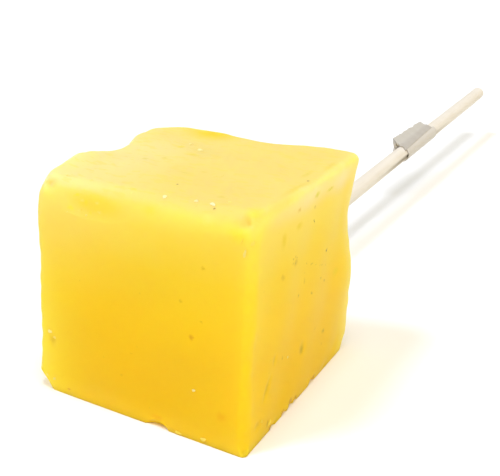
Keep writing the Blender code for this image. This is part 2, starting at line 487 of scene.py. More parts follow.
# Marks on the candy in the order in which they are laid on, by face: across and up, half width and half
# height in mm, tilt in degrees, and the kind
marksByFace = [
    ("front", [
        (-8.8, 35.6, 6.2, 2.5, -4, "scar"), (1.2, 36.6, 2.2, 1.4, 0, "faintYellow"),
        (10.2, 17.8, 0.6, 0.6, 0, "amber"), (15.9, 6.0, 1.3, 1.15, 0, "faintAmber"),
        (4.2, 1.8, 1.8, 0.8, 0, "faintAmber"), (11.5, 29.1, 0.6, 0.4, 0, "faintOlive"),
        (8.0, 23.1, 0.45, 0.4, 0, "faintOlive"), (11.8, 20.7, 0.45, 0.25, 0, "faintOlive"),
        (-0.9, 11.8, 0.5, 0.25, 0, "faintOlive"), (-2.5, 7.5, 0.45, 0.25, 0, "faintOlive"),
        (-13.3, 1.2, 0.6, 0.3, 0, "amber"), (-17.0, 9.4, 0.95, 1.3, 0, "pit"),
        (-12.7, 36.5, 0.75, 0.35, 20, "lemon"), (-10.9, 35.4, 0.45, 0.75, 0, "lemon"),
        (-13.3, 34.2, 0.9, 0.6, -10, "lemon"), (-9.9, 33.9, 0.5, 0.45, 0, "lemon"),
        (-11.6, 35.8, 0.5, 0.4, 0, "pale"), (-8.9, 35.7, 0.6, 0.45, 0, "pale"),
        (-8.3, 34.3, 0.55, 0.4, 0, "pale"), (-11.8, 34.0, 0.4, 0.3, 0, "pale"),
        (-12.4, 33.3, 3.0, 0.22, -11, "rimLine"), (17.6, 35.6, 3.1, 2.6, -10, "lemon"),
        (11.6, 37.0, 1.6, 1.1, 0, "pale"),
    ]),
    ("right", [
        # painted light: a paler band where the rounded top right edge turns up to the light
        (0.0, 36.2, 19.5, 3.2, 0, "crest"), (12.0, 35.6, 9.0, 3.6, 0, "crest"),
    ]),
    ("top", [
        (19.8, -11.0, 1.6, 9.0, 0, "shade"), (18.4, -18.6, 2.6, 2.6, 0, "shade"),
        (19.0, -17.4, 2.2, 2.8, 0, "topYellow"), (18.7, -3.0, 0.9, 9.5, -4, "topOlive"),
        (16.6, 4.2, 0.8, 3.6, 0, "topOlive"), (18.4, 10.0, 0.9, 4.5, 0, "topOlive"),
        (-3.3, -16.3, 0.7, 0.45, 0, "topYellow"), (-3.2, -17.3, 0.4, 0.4, 0, "pale"),
        (11.7, -17.1, 0.34, 0.3, 0, "brown"), (10.4, -12.9, 1.1, 0.75, 0, "topOlive"),
        (-9.1, 6.9, 0.95, 1.2, 0, "topYellow"), (-4.7, 4.1, 2.4, 0.8, 0, "topYellow"),
        (-10.4, -2.4, 0.9, 0.9, 0, "topOlive"), (-7.7, -0.3, 1.1, 0.8, 0, "topOlive"),
        (1.6, -11.3, 0.32, 0.36, 0, "brown"), (-0.9, -5.4, 1.5, 0.6, 0, "topOlive"),
        (1.6, -3.2, 0.9, 0.5, 0, "topOlive"), (5.4, -3.7, 0.22, 1.0, 0, "topOlive"),
        (4.5, -4.4, 0.16, 0.8, 0, "topOlive"), (18.3, 1.2, 0.3, 0.55, 0, "brown"),
        (-8.2, 16.6, 8.5, 5.2, -8, "sunny"),
    ]),
    ("right", [
        (6.5, 35.2, 1.8, 0.42, 3, "sap"), (1.7, 35.6, 1.6, 0.6, 10, "sap"),
        (-5.7, 35.4, 0.9, 0.55, 0, "faintOlive"), (0.8, 33.8, 0.26, 0.42, 0, "olive"),
        (0.8, 31.4, 0.28, 0.42, 0, "brown"), (7.0, 24.0, 0.58, 0.38, 45, "brown"),
        (-5.3, 32.7, 1.8, 0.9, 0, "yellow"), (-10.2, 32.0, 1.2, 1.9, 0, "yellow"),
        (11.7, 18.2, 1.9, 1.1, 0, "yellow"), (-5.6, 26.7, 1.1, 0.9, 0, "faintOlive"),
        (-9.9, 25.8, 1.0, 0.7, -40, "faintOlive"), (-1.7, 21.9, 0.5, 0.9, 0, "faintOlive"),
        (-4.0, 20.3, 0.26, 0.6, -15, "olive"), (0.9, 18.7, 0.7, 0.42, -20, "olive"),
        (4.9, 19.6, 0.42, 0.32, 0, "olive"), (6.7, 18.5, 0.6, 0.28, -30, "olive"),
        (-1.2, 9.6, 1.2, 1.6, -8, "pit"), (-1.2, 9.2, 0.9, 1.1, 0, "olive"),
        (7.3, 8.5, 0.85, 0.7, 0, "olive"), (3.4, 10.9, 0.7, 0.45, 0, "faintOlive"),
        (7.0, 6.1, 0.5, 0.55, 0, "faintOlive"), (-10.6, 12.1, 0.7, 1.1, -8, "pit"),
        (-7.9, 11.0, 0.34, 0.65, 0, "olive"), (-12.9, 8.4, 0.8, 2.7, -42, "groove"),
        (-15.7, 3.6, 1.3, 1.0, 0, "pit"), (-12.4, 1.9, 0.65, 0.9, 0, "olive"),
        (-4.3, 0.8, 1.3, 1.2, 0, "nick"), (-6.9, 0.5, 0.9, 0.8, 0, "nick"),
        (-2.4, 0.6, 0.8, 0.7, 0, "nick"), (-11.2, 0.5, 1.0, 0.8, 0, "nick"),
        (4.4, 0.6, 1.2, 0.6, 0, "nick"),
    ]),
]
candyMarks = [(face, *mark) for face, marks in marksByFace for mark in marks]
# a bubble's broken ring and a row of small specks on the right face
candyMarks += [
    ("right", -6.0 + 0.80 * math.cos(turn), 27.2 + 0.62 * math.sin(turn), 0.28, 0.20, 0, "olive")
    for turn in (0.3, 1.4, 2.5, 3.7, 5.0)
]
candyMarks += [
    ("right", across, 24.7 - 0.42 * (across + 1.0), 0.30, 0.20, 0, "olive")
    for across in (-1.0, 0.7, 1.3, 2.6, 4.3, 5.2, 7.1)
]

markKinds = {
    # tint, strength, softness, depth in the mesh in mm, and the power of its profile
    "amber": ((0.66, 0.26, 0.004), 0.65, 0.9, 0.0, 1.0),
    "faintAmber": ((0.78, 0.36, 0.004), 0.5, 1.0, 0.0, 1.0),
    "olive": ((0.58, 0.36, 0.003), 0.9, 1.0, 0.0, 1.0),
    "faintOlive": ((0.72, 0.44, 0.004), 0.7, 1.0, 0.0, 1.0),
    "topOlive": ((0.72, 0.57, 0.06), 0.55, 1.0, 0.0, 1.0),
    "brown": ((0.3, 0.16, 0.004), 1.0, 0.9, 0.0, 1.0),
    "sap": ((0.72, 0.6, 0.02), 0.85, 1.0, 0.02, 1.0),
    "yellow": ((0.82, 0.58, 0.003), 0.7, 1.0, 0.03, 1.0),
    # painted light along the rounded top right edge
    "crest": ((0.91, 0.745, 0.35), 0.62, 1.0, 0.0, 1.0),
    "shade": ((0.72, 0.56, 0.11), 0.55, 1.0, 0.0, 1.0),
    "topYellow": ((0.8, 0.64, 0.03), 0.65, 1.0, 0.03, 1.0),
    "faintYellow": ((0.94, 0.66, 0.02), 0.35, 1.0, 0.05, 1.0),
    "lemon": ((0.92, 0.74, 0.04), 0.6, 1.0, 0.04, 1.0),
    "sunny": ((0.86, 0.6, 0.032), 0.95, 1.0, 0.0, 1.0),
    "pale": ((0.92, 0.76, 0.22), 0.45, 1.0, -0.05, 1.0),
    "scar": ((0.92, 0.68, 0.06), 0.75, 0.7, 0.38, 0.5),
    "rimLine": ((0.93, 0.76, 0.16), 0.6, 1.0, -0.12, 1.0),
    "pit": ((0.66, 0.43, 0.005), 0.5, 1.0, 0.14, 1.0),
    "groove": ((0.66, 0.43, 0.004), 0.65, 1.0, 0.15, 1.0),
    "nick": ((0.46, 0.17, 0.008), 0.85, 1.0, 0.0, 1.0),
}

markReach = 1.5 * mm            # how far above and below the skin a mark still colours or dents it


def markCentres(marks):
    cube = np.array([facePlace(face, across, up) for face, across, up, *rest in marks])
    return candyForm(cube)[0]


# Depth that the marks dig at each point: depth times (1 - r squared) to its power, where r is the distance
# from the mark's centre in shares of its half sizes, after turning by its tilt
def markDepth(point, marks):
    depth = np.zeros(len(point))
    for (face, _, _, halfWide, halfHigh, tilt, kind), centre in zip(marks, markCentres(marks)):
        dig, power = markKinds[kind][3:]
        if not dig:
            continue
        across, up = np.array(faceAxes[face], float)
        angle = math.radians(tilt)
        wide = math.cos(angle) * across + math.sin(angle) * up
        high = math.cos(angle) * up - math.sin(angle) * across
        offset = point - centre
        far = ((offset @ wide) / (halfWide * mm)) ** 2 + ((offset @ high) / (halfHigh * mm)) ** 2
        far = far + ((offset @ np.cross(across, up)) / markReach) ** 2
        profile = np.maximum(1.0 - far, 0.0) ** power
        if kind == "scar":                              # its upper side runs out into the rounded edge
            profile = profile * ease((0.8 - (offset @ high) / (halfHigh * mm)) / 1.4)
        depth = depth + dig * mm * profile
    return depth


# Share of an edge's effect at each point: the edge's amount, times a bell of the distance to it, times a
# share that eases from its value at the floor to 1 at the top
def nearEdges(cube, edges):
    share = np.zeros(len(cube))
    rise = ease(0.5 + 0.5 * cube[:, 2])
    for signs, (amount, width, atFloor) in edges.items():
        axes = [axis for axis in range(3) if signs[axis]]
        away = (cube[:, axes] - np.array(signs)[axes]) * halfBlock[axes]
        amount = amount * (atFloor + (1.0 - atFloor) * rise)
        share = np.maximum(share, amount * bell(np.hypot(away[:, 0], away[:, 1]), width))
    return share


# Grid of the whole cube skin. Whole-number places weld the six faces; each face runs over two axes.
def cubeGrid(cells):
    places = []
    faces = []
    step = np.arange(cells + 1)
    first, second = np.meshgrid(step, step, indexing="ij")
    for axis in range(3):
        for side in (0, cells):
            place = np.zeros((cells + 1, cells + 1, 3), int)
            place[..., axis] = side
            place[..., (axis + 1) % 3] = first
            place[..., (axis + 2) % 3] = second
            index = len(places) * (cells + 1) ** 2 + np.arange((cells + 1) ** 2)
            index = index.reshape(cells + 1, cells + 1)
            quad = [index[:-1, :-1], index[1:, :-1], index[1:, 1:], index[:-1, 1:]]
            places.append(place.reshape(-1, 3))
            faces.append(np.stack(quad if side else quad[::-1], axis=-1).reshape(-1, 4))
    welded, where = np.unique(np.concatenate(places), axis=0, return_inverse=True)
    return welded, where.ravel()[np.concatenate(faces)]


# Pits on the two sides that no view showed: seeded places, sizes and tilts
def hiddenPits(seed, count):
    draw = np.random.default_rng(seed)
    face = draw.choice(["back", "left"], count)
    across = draw.uniform(-17, 17, count)
    up = draw.uniform(3, 35, count)
    wide = draw.uniform(0.4, 1.1, count)
    high = draw.uniform(0.4, 1.6, count)
    tilt = draw.uniform(-40, 40, count)
    return [(str(face[i]), across[i], up[i], wide[i], high[i], tilt[i], "pit") for i in range(count)]


def makeCandy(block, material):
    places, quads = cubeGrid(block["cells"])
    even = 2.0 * places / block["cells"] - 1.0
    crowding = block["crowding"]
    cube = (1.0 - crowding) * even + crowding * np.sin(even * math.pi / 2)
    point, outward = candyForm(cube)

    inside = (1.0 - np.abs(cube)) * halfBlock           # distance to each pair of faces
    toEdge = np.sort(inside, axis=1)[:, 1]              # the second smallest is the distance to an edge
    height = point[:, 2]
    bumps = ease(height / block["baseBlend"]) * unevenness(point, block["ripple"])
    nibble = block["edgeNibble"]
    bumps += unevenness(point, nibble) * bell(toEdge, nibble["reach"]) * ease(height / nibble["setIn"])
    crumbs = block["baseNibble"]
    atBase = bell(height, crumbs["upTo"]) * bell(toEdge, crumbs["reach"]) * ease(height / crumbs["setIn"])
    bumps -= np.abs(unevenness(point, crumbs)) * atBase
    bumps -= markDepth(point, candyMarks + hiddenPits(**block["hiddenPits"]))
    point = point + outward * bumps[:, None]

    collar = block["collar"]
    thick = stickShape["radius"]
    offset = point - stickExit
    along = offset @ stickAlong
    off = lengthOf(offset - along[:, None] * stickAlong)[:, 0]
    rise = collar["height"] * bell(np.maximum(off - thick, 0.0), collar["width"])
    sink = collar["sink"] * ease((collar["socket"] * thick - off) / (collar["socketBlend"] * thick))
    atBack = ease((along + collar["inside"]) / collar["setIn"])
    point = point + stickAlong * ((rise - sink) * atBack)[:, None]
    point[:, 2] = np.maximum(point[:, 2], 0.0)

    candy = putMesh("candy_block", point, [quads], material, "candy")
    level = 0.5 + 0.5 * cube[:, 2]
    topStart, topBlend = block["topTurn"]
    topShare = ease((outward[:, 2] - topStart) / topBlend)
    milky = block["milky"]
    onSides = milky["onSides"] * ease((level - milky["sidesFrom"]) / milky["sidesBlend"])
    atLeft = ease((milky["rightEnd"] - point[:, 0]) / milky["fade"])
    atFront = 1.0 - milky["backLoss"] * ease((point[:, 1] - milky["backStart"]) / milky["backFade"])
    glow = block["baseGlow"]
    offRight = 1.0 - glow["rightLack"] * np.clip(outward[:, 0], 0.0, 1.0)
    shares = {
        "level": level,
        "edgeLightShare": nearEdges(cube, block["edgeLightTone"]) * (1.0 - level ** 3),
        "wearAndHighlightShare": nearEdges(cube, block["edgeWearAndHighlight"]),
        "topShare": topShare,
        "milkyShare": atLeft * atFront * np.maximum(topShare, onSides),
        "glowShare": bell(point[:, 2], glow["height"]) * offRight,
    }
    for name, values in shares.items():
        storeValues(candy, name, values)
    return candy


candyColours = {
    # colour by height, from the floor to the top: painted light and shade, paler higher up where the light
    # from above enters and deeper orange towards the floor
    "byHeight": [
        (0.00, (0.83, 0.516, 0.006)),
        (0.12, (0.84, 0.522, 0.006)),
        (0.35, (0.88, 0.55, 0.006)),
        (0.52, (0.925, 0.596, 0.009)),
        (0.70, (0.95, 0.632, 0.022)),
        (0.87, (0.95, 0.694, 0.078)),
        (0.97, (0.90, 0.708, 0.126)),
    ],
    # painted light: the up-facing skin is paler where the light from above falls and the bright surroundings
    # reflect
    "top": (0.845, 0.648, 0.18),
    # painted light: paler lemon where light shines through the thin edges
    "edge": (0.925, 0.696, 0.026),
    # paler edges: partly wear, partly painted highlight where the roundings catch the light
    "worn": (0.90, 0.728, 0.32),
    "milky": (0.85, 0.712, 0.27),
    "speck": (0.62, 0.41, 0.014),
    "scuff": (0.86, 0.64, 0.07),
    # painted glow: emitted by the candy itself, not lit by a lamp
    "glow": (0.11, 0.056, 0.01),        # light that the translucent candy gathers above the white floor
    # size, detail and contrast of each noise
    "clouds": (0.0090, 3.0, 1.4),
    "grain": (0.0005, 4.0, 1.0),
    "scuffs": (0.0009, 2.0, 4.5),
    "drift": 0.045,             # how far the clouds shift the colour up and down, in shares of the height
    "wobble": (0.0005, 0.0008),         # size of the noise that bends the marks' outlines, and how far
    "bump": (0.000008, 0.6),            # height of the grain, and how much of it shows
    "specks": {"Spacing": 0.0022, "Radius": 0.11, "Share": 0.25},
    "speckShare": 0.35,
    "scuffShare": 0.30,
    "scatterDepth": 0.004,
    "scatterRadius": (1.0, 1.0, 0.40),
    "roughness": (0.40, 0.52),
    "specular": 0.12,
}


def makeCandyMaterial(colours):
    material, tree, shader = newMaterial("hard_candy")
    place = addNode(tree, "TexCoord").outputs["Object"]
    clouds = cloudMask(tree, place, *colours["clouds"])
    grain = cloudMask(tree, place, *colours["grain"])
    topShare = readShare(tree, "topShare")

    drift = carry(tree, clouds, -colours["drift"], colours["drift"])
    # painted light and shade: the colour pales with height, as light from above enters the candy
    colour = colourRamp(tree, calc(tree, "ADD", readShare(tree, "level"), drift), colours["byHeight"])
    # painted light: the thin edges take the paler edge colour
    colour = mixColours(tree, readShare(tree, "edgeLightShare"), colour, colours["edge"])
    # painted light: the up-facing skin takes the paler top colour
    colour = mixColours(tree, topShare, colour, colours["top"])
    colour = mixColours(tree, readShare(tree, "milkyShare"), colour, colours["milky"])
    # short scuffs that run along X on the top, only where the noise is highest
    scuffs = cloudMask(tree, calcVector(tree, "MULTIPLY", place, (0.35, 1.0, 1.0)), *colours["scuffs"])
    scuffed = calc(tree, "MULTIPLY", carry(tree, scuffs, 0.0, colours["scuffShare"], 0.75, 1.0), topShare)
    colour = mixColours(tree, scuffed, colour, colours["scuff"])
    # paler edges, broken up by the grain: partly wear, partly painted highlight on the roundings
    worn = calc(tree, "MULTIPLY", readShare(tree, "wearAndHighlightShare"), carry(tree, grain, 0.4, 1.6), clamp=True)
    colour = mixColours(tree, worn, colour, colours["worn"])
    specks = useGroup(tree, speckGroup, Position=place, **colours["specks"])
    faint = calc(tree, "MULTIPLY", specks.outputs["Mask"], colours["speckShare"])
    colour = mixColours(tree, faint, colour, colours["speck"])

    size, bend = colours["wobble"]
    scaled = calcVector(tree, "DIVIDE", place, (size,) * 3)
    noise = addNode(tree, "TexNoise", Vector=scaled, Scale=1.0, Detail=2.0).outputs["Color"]
    bent = calcVector(tree, "MULTIPLY_ADD", noise, (bend,) * 3, place)
    bent = calcVector(tree, "SUBTRACT", bent, (bend / 2,) * 3)
    for (face, _, _, halfWide, halfHigh, tilt, kind), centre in zip(candyMarks, markCentres(candyMarks)):
        tint, strength, softness = markKinds[kind][:3]
        across, up = np.array(faceAxes[face], float)
        axis = np.cross(across, up)
        reach = (halfWide * np.abs(across) + halfHigh * np.abs(up)) * mm + markReach * np.abs(axis)
        spot = useGroup(tree, spotGroup, Position=bent, Centre=centre, Reach=reach, Axis=axis,
                        Tilt=math.radians(tilt), Softness=softness, Strength=strength,
                        Colour=colour, Tint=tint)
        colour = spot.outputs["Colour"]
    shader.subsurface_method = "RANDOM_WALK"
    fillShader(tree, shader, {
        "Base Color": colour,
        # painted glow: emission lightens the candy near the floor, where it would fall into shade
        "Emission Color": mixColours(tree, readShare(tree, "glowShare"), (0.0, 0.0, 0.0), colours["glow"]),
        "Emission Strength": 1.0,
        "Roughness": carry(tree, clouds, *colours["roughness"]),
        "Normal": grainNormal(tree, grain, *colours["bump"]),
        "Subsurface Weight": 1.0,
        "Subsurface Radius": colours["scatterRadius"],
        "Subsurface Scale": colours["scatterDepth"],
        "Specular IOR Level": colours["specular"],
    })
    return material


makeCandy(candyBlock, makeCandyMaterial(candyColours))
print("candy block made")


sugarFlakes = {
    # face, across and up, half length, half width in mm, tilt in degrees, and how white it is
    "places": [
        ("top", 2.6, -16.6, 0.40, 0.34, 70, 0.9), ("top", 7.9, -15.9, 0.40, 0.32, 20, 0.7),
        ("top", 10.9, -16.1, 0.50, 0.36, -25, 1.0), ("top", 13.0, -14.6, 0.30, 0.24, 0, 0.3),
        ("top", -8.9, 9.8, 0.38, 0.34, 0, 0.5), ("top", -5.4, 7.6, 0.62, 0.42, -30, 0.7),
        ("front", -17.6, 11.0, 0.42, 0.32, 20, 0.4), ("front", -16.6, 10.1, 0.28, 0.20, 0, 0.2),
        ("front", -16.4, 2.3, 0.28, 0.24, 0, 0.3), ("front", -17.9, 2.6, 0.22, 0.18, 0, 0.2),
        ("front", 10.8, 8.8, 0.28, 0.24, 0, 0.6), ("front", -10.4, 33.5, 0.20, 0.18, 0, 0.3),
        ("front", -13.9, 33.5, 0.26, 0.16, -10, 0.5), ("top", -16.2, -16.3, 0.26, 0.22, 0, 0.4),
        ("front", 18.0, 34.6, 0.60, 0.14, 75, 0.0), ("front", 18.5, 32.8, 0.60, 0.24, 80, 0.3),
        ("front", 20.0, 34.6, 0.46, 0.22, 50, 0.1), ("right", -5.9, 10.2, 0.24, 0.20, 0, 0.5),
        ("right", -14.6, 3.7, 0.36, 0.24, 0, 0.0), ("right", -11.7, 1.7, 0.55, 0.45, 40, 0.0),
        ("front", 8.4, 0.5, 0.60, 0.34, 0, 0.0), ("front", 12.9, 0.9, 0.48, 0.36, 0, 0.1),
    ],
    "hidden": 16,               # seeded ones on the back and left
    "seed": 17,
    "thickness": 0.45,          # height of a flake in shares of its half width
    "uneven": (0.16, 0.12, 0.07),       # heights of the waves round a flake
    "rings": 7, "columns": 14,
}


# Flakes: on each one's own across, up and outward directions, a ball stretched to its half sizes. A seeded
# wave round it makes the outline uneven, and its middle lies at the candy's skin.
def makeFlakes(shape, material):
    draw = np.random.default_rng(shape["seed"])
    places = list(shape["places"])
    for _ in range(shape["hidden"]):
        face = "back" if draw.random() < 0.5 else "left"
        places.append((face, draw.uniform(-18, 18), draw.uniform(1, 36), draw.uniform(0.2, 0.5),
                       draw.uniform(0.15, 0.3), draw.uniform(-90, 90), draw.uniform(0.1, 0.6)))
    count = len(places)
    centre, outward = candyForm(np.array([facePlace(*place[:3]) for place in places]))
    axes = np.array([faceAxes[place[0]] for place in places], float)
    longHalf, shortHalf, tilt, white = np.array([place[3:] for place in places]).T
    tilt = np.radians(tilt)[:, None]
    longWay = np.cos(tilt) * axes[:, 0] + np.sin(tilt) * axes[:, 1]
    longWay -= (longWay * outward).sum(axis=1, keepdims=True) * outward
    longWay /= lengthOf(longWay)
    shortWay = np.cross(outward, longWay)

    turn = np.arange(shape["columns"]) / shape["columns"] * 2 * math.pi
    slope = (np.arange(shape["rings"]) + 1) / (shape["rings"] + 1) * math.pi
    slopeGrid, turnGrid = np.meshgrid(slope, turn, indexing="ij")
    starts = draw.uniform(0, 2 * math.pi, (3, count, 1, 1))
    first, second, third = shape["uneven"]
    uneven = 1.0 + first * np.cos(2 * turnGrid + starts[0]) + second * np.cos(3 * turnGrid + starts[1])
    uneven = uneven + third * np.cos(5 * turnGrid + 2 * slopeGrid + starts[2])
    flat = np.sin(slopeGrid) * uneven
    local = np.stack([flat * np.cos(turnGrid), flat * np.sin(turnGrid),
                      np.broadcast_to(np.cos(slopeGrid), flat.shape)], axis=-1).reshape(count, -1, 3)
    poles = np.zeros((count, 1, 3))
    poles[..., 2] = 1.0
    local = np.concatenate([poles, local, -poles], axis=1)
    sizes = np.stack([longHalf, shortHalf, shape["thickness"] * shortHalf], axis=-1) * mm
    frames = np.stack([longWay, shortWay, outward], axis=1)
    points = centre[:, None, :] + (local * sizes[:, None, :]) @ frames

    offset = (np.arange(count) * local.shape[1])[:, None, None]
    groups = [(offset + group[None, :, ::-1]).reshape(-1, group.shape[1])
              for group in poleToPoleFaces(shape["rings"], shape["columns"])]
    flakes = putMesh("sugar_flakes", points.reshape(-1, 3), groups, material, "candy")
    storeValues(flakes, "whiteShare", np.repeat(white, local.shape[1]))
    return flakes


flakeColours = {
    "white": (0.92, 0.88, 0.56),
    "candy": (0.93, 0.68, 0.06),
    "grain": (0.00025, 3.0, 2.0),       # size, detail and contrast
    "bump": (0.00003, 0.8),             # height of the grain, and how much of it shows
    "roughness": 0.35,
    "specular": 0.3,
}


def makeFlakeMaterial(colours):
    material, tree, shader = newMaterial("sugar_flake")
    place = addNode(tree, "TexCoord").outputs["Object"]
    grain = cloudMask(tree, place, *colours["grain"])
    white = calc(tree, "MULTIPLY", readShare(tree, "whiteShare"), carry(tree, grain, 0.6, 1.2), clamp=True)
    fillShader(tree, shader, {
        "Base Color": mixColours(tree, white, colours["candy"], colours["white"]),
        "Normal": grainNormal(tree, grain, *colours["bump"]),
        "Roughness": colours["roughness"],
        "Specular IOR Level": colours["specular"],
    })
    return material


makeFlakes(sugarFlakes, makeFlakeMaterial(flakeColours))
print("sugar flakes made")


# Skin of the stick for a turn round it and a distance along it: the axis point, plus the outward direction
# times the radius there. The radius falls along a quarter circle at both ends, and long shallow flutes
# follow the grain.
def makeStick(shape, material):
    rounding = shape["endRounding"]
    length = shape["length"]
    quarter = np.linspace(0.0, math.pi / 2, shape["roundRings"])
    capDistance = rounding * (1.0 - np.cos(quarter))
    capRadius = shape["radius"] - rounding * (1.0 - np.sin(quarter))
    flat = np.linspace(0.25, 0.8, shape["flatRings"]) * capRadius[0]
    middle = np.linspace(rounding, length - rounding, shape["rows"])[1:-1]
    distance = [0.0 * flat, capDistance, middle, length - capDistance[::-1], 0.0 * flat + length]
    radius = [flat, capRadius, np.full(len(middle), shape["radius"]), capRadius[::-1], flat[::-1]]
    distance = np.concatenate(distance)
    turn = np.arange(shape["columns"]) / shape["columns"] * 2 * math.pi
    turnGrid, distanceGrid = np.meshgrid(turn, distance)
    radiusGrid = np.repeat(np.concatenate(radius)[:, None], len(turn), axis=1)
    wide, stretch = shape["grain"]
    grain = np.stack([np.cos(turnGrid) * wide, np.sin(turnGrid) * wide, distanceGrid * stretch], axis=-1)
    flutes = sum(unevenness(grain, kind) for kind in shape["flutes"])
    fromStripe = turnGrid - math.radians(darkStripe["angle"])
    stripe = darkStripe["depth"] * bell(np.sin(fromStripe / 2), darkStripe["halfTurn"]) * (np.cos(fromStripe) > 0)
    stripe = stripe * bell(distanceGrid - darkStripe["middle"], 0.8 * darkStripe["halfLength"])
    radiusGrid = radiusGrid + (flutes - shape["lowered"] - stripe) * (radiusGrid / shape["radius"])
    across, up = sideways(stickAlong)
    outward = np.cos(turnGrid)[..., None] * across + np.sin(turnGrid)[..., None] * up
    start = stickExit - stickAlong * shape["inCandy"]
    grid = start + distanceGrid[..., None] * stickAlong + radiusGrid[..., None] * outward
    ends = np.array([start, start + stickAlong * length])
    points = np.concatenate([ends[:1], grid.reshape(-1, 3), ends[1:]])
    stick = putMesh("wooden_stick", points, poleToPoleFaces(len(distance), len(turn)), material, "stick")
    own = np.stack([np.cos(turnGrid) * radiusGrid, np.sin(turnGrid) * radiusGrid, distanceGrid], axis=-1)
    own = np.concatenate([[[0.0, 0.0, 0.0]], own.reshape(-1, 3), [[0.0, 0.0, length]]])
    storeValues(stick, "ownPlace", own)
    return stick


# a dark stripe along the grain on the lower side, sunk in as a shallow groove: turn round the stick in
# degrees, and distances along it
darkStripe = {
    "angle": 187.0, "middle": 0.1270, "halfLength": 0.0360, "halfWidth": 0.0012, "depth": 0.00036,
    "halfTurn": 0.08,           # half width of the groove, as the sine of half the turn
}

woodColours = {
    "light": (0.825, 0.77, 0.68),
    "dark": (0.71, 0.63, 0.52),
    "stripe": (0.24, 0.19, 0.13),
    # size, detail and contrast of each noise
    "streaks": (0.00035, 4.0, 1.6),
    "patches": (0.0090, 2.0, 1.5),
    "bump": (0.00002, 0.7),             # height of the streaks, and how much of it shows
    "roughness": 0.62,
    "specular": 0.3,
}


def makeWoodMaterial(colours):
    material, tree, shader = newMaterial("pale_wood")
    own = addNode(tree, "Attribute", {"attribute_name": "ownPlace"}).outputs["Vector"]
    streaks = cloudMask(tree, calcVector(tree, "MULTIPLY", own, (1.0, 1.0, 0.03)), *colours["streaks"])
    patches = cloudMask(tree, own, *colours["patches"])
    colour = mixColours(tree, calc(tree, "MULTIPLY", streaks, patches), colours["light"], colours["dark"])
    angle = math.radians(darkStripe["angle"])
    radius = stickShape["radius"]
    centre = (radius * math.cos(angle), radius * math.sin(angle), darkStripe["middle"])
    reach = (darkStripe["halfWidth"], darkStripe["halfWidth"], darkStripe["halfLength"])
    line = useGroup(tree, spotGroup, Position=own, Centre=centre, Reach=reach, Axis=(0.0, 0.0, 1.0),
                    Softness=0.9, Colour=colour, Tint=colours["stripe"], Strength=0.95)
    fillShader(tree, shader, {
        "Base Color": line.outputs["Colour"],
        "Normal": grainNormal(tree, streaks, *colours["bump"]),
        "Roughness": colours["roughness"],
        "Specular IOR Level": colours["specular"],
    })
    return material


makeStick(stickShape, makeWoodMaterial(woodColours))
print("stick made")


bandShape = {
    "clearance": 0.00006,       # between the paper and the wood
    "paper": 0.00020,           # its thickness
    "ridgeAngle": 50.0,
    "ridgeReach": (0.0050, 0.0043),     # from the axis to the ridge, at the near and the far end
    "paperEdge": (135.0, 121.0),        # turn of the edge that overlaps the wrap, near and far
    "overlap": 0.00016,
    # distances from the candy: near end at the ridge and at the paper's edge, and far end
    "flapEnds": (0.0906, 0.0886, 0.1138),
    "wrapEnds": (0.0897, 0.1155),
    "flank": 0.2,               # share of the columns on each side of the ridge
    "columns": 240, "rows": 72,
    "slackBlend": 0.4,          # share of the bore over which the paper leaves the wood for the ridge
    "flapBlend": 3.0,           # degrees over which the flap rises at the paper's edge
    "crumple": {"height": 0.00012, "size": 0.0032, "seed": 41},
    "tightCrumple": 0.15,       # share of the crumple that the tight part keeps
    "tear": {"height": 0.0003, "size": 0.0030, "seed": 43},
}


# Outlines of paper drawn tight round the stick and out to a ridge, one for each reach: the arc between the
# two tangents from the ridge, and the two tangents, as evenly shared columns
def bandOutlines(radius, reach, ridgeTurn, flank, columns):
    halfOpen = np.arccos(radius / reach)[:, None]
    share = np.arange(columns) / columns
    roundArc = np.clip((share - flank) / (1 - 2 * flank), 0, 1)
    turn = ridgeTurn + halfOpen + (2 * math.pi - 2 * halfOpen) * roundArc
    arc = radius * np.stack([np.cos(turn), np.sin(turn)], axis=-1)
    ridge = reach[:, None, None] * np.array([math.cos(ridgeTurn), math.sin(ridgeTurn)])
    out = np.maximum(np.clip(1.0 - share / flank, 0, 1), np.clip(1.0 - (1.0 - share) / flank, 0, 1))
    return arc + (ridge - arc) * out[:, None]


